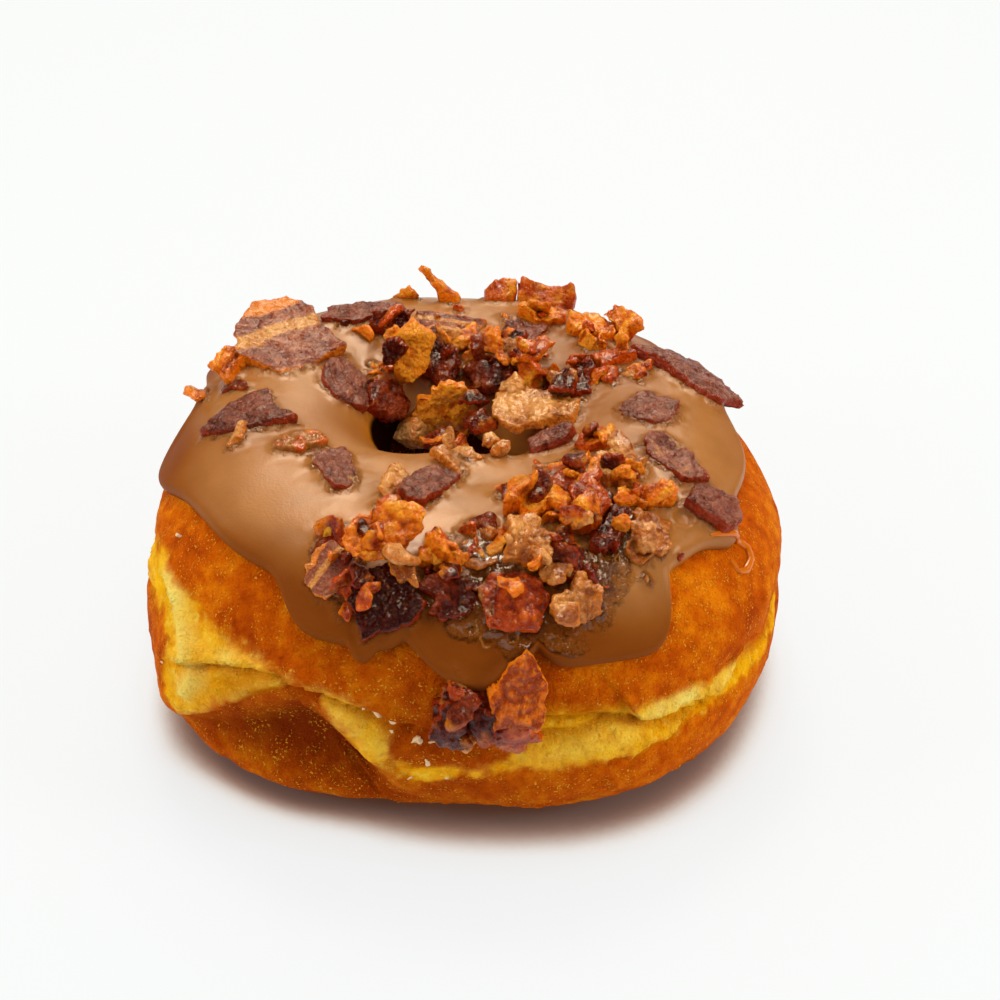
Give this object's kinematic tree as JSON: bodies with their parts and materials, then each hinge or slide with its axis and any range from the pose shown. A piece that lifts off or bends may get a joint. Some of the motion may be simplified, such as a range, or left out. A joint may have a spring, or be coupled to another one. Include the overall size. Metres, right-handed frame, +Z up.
{
  "type": "bacon doughnut",
  "caption": "Yeast-raised ring doughnut with a pale band round its side, a lobed coat of maple icing and a ragged topping of chopped crisp bacon.",
  "frame": {"origin": "middle of the outline seen from above, on the surface it rests on", "axes": "+Z up through the hole, -Y towards the dented front with the pieces of bacon on its wall"},
  "size_m": [0.0972, 0.1031, 0.0503],
  "materials": {
    "dough": "fried yeast dough, orange-brown satin crust with a pale yellow band",
    "icing": "set maple icing, caramel brown with a soft sheen",
    "bacon_streaky": "cooked rasher with maroon meat and orange fat in stripes",
    "bacon_crisp": "crisp browned bacon fat, golden orange and bubbly",
    "bacon_lean": "cooked lean bacon, maroon with a grey sheen",
    "bacon_red": "glazed bacon, wet red-brown",
    "bacon_dark": "glazed bacon, wet dark maroon",
    "bacon_tan": "glazed bacon fat, tan and frilly"
  },
  "bodies": {
    "root": {"dough_ring": "dough", "maple_icing": "icing", "bacon_streaky_01": "bacon_streaky", "bacon_streaky_02": "bacon_streaky", "bacon_streaky_03": "bacon_streaky", "bacon_crisp_01": "bacon_crisp", "bacon_crisp_02": "bacon_crisp", "bacon_crisp_03": "bacon_crisp", "bacon_crisp_04": "bacon_crisp", "bacon_crisp_05": "bacon_crisp", "bacon_crisp_06": "bacon_crisp", "bacon_crisp_07": "bacon_crisp", "bacon_crisp_08": "bacon_crisp", "bacon_crisp_09": "bacon_crisp", "bacon_crisp_10": "bacon_crisp", "bacon_crisp_11": "bacon_crisp", "bacon_crisp_12": "bacon_crisp", "bacon_lean_01": "bacon_lean", "bacon_lean_02": "bacon_lean", "bacon_lean_03": "bacon_lean", "bacon_lean_04": "bacon_lean", "bacon_lean_05": "bacon_lean", "bacon_lean_06": "bacon_lean", "bacon_lean_07": "bacon_lean", "bacon_lean_08": "bacon_lean", "bacon_lean_09": "bacon_lean", "bacon_lean_10": "bacon_lean", "bacon_lean_11": "bacon_lean", "bacon_red_01": "bacon_red", "bacon_red_02": "bacon_red", "bacon_red_03": "bacon_red", "bacon_red_04": "bacon_red", "bacon_red_05": "bacon_red", "bacon_red_06": "bacon_red", "bacon_red_07": "bacon_red", "bacon_red_08": "bacon_red", "bacon_red_09": "bacon_red", "bacon_red_10": "bacon_red", "bacon_dark_01": "bacon_dark", "bacon_dark_02": "bacon_dark", "bacon_dark_03": "bacon_dark", "bacon_dark_04": "bacon_dark", "bacon_dark_05": "bacon_dark", "bacon_dark_06": "bacon_dark", "bacon_dark_07": "bacon_dark", "bacon_dark_08": "bacon_dark", "bacon_dark_09": "bacon_dark", "bacon_dark_10": "bacon_dark", "bacon_tan_01": "bacon_tan", "bacon_tan_02": "bacon_tan", "bacon_tan_03": "bacon_tan", "bacon_tan_04": "bacon_tan", "bacon_tan_05": "bacon_tan", "bacon_tan_06": "bacon_tan", "bacon_tan_07": "bacon_tan", "bacon_tan_08": "bacon_tan"}
  },
  "joints": []
}
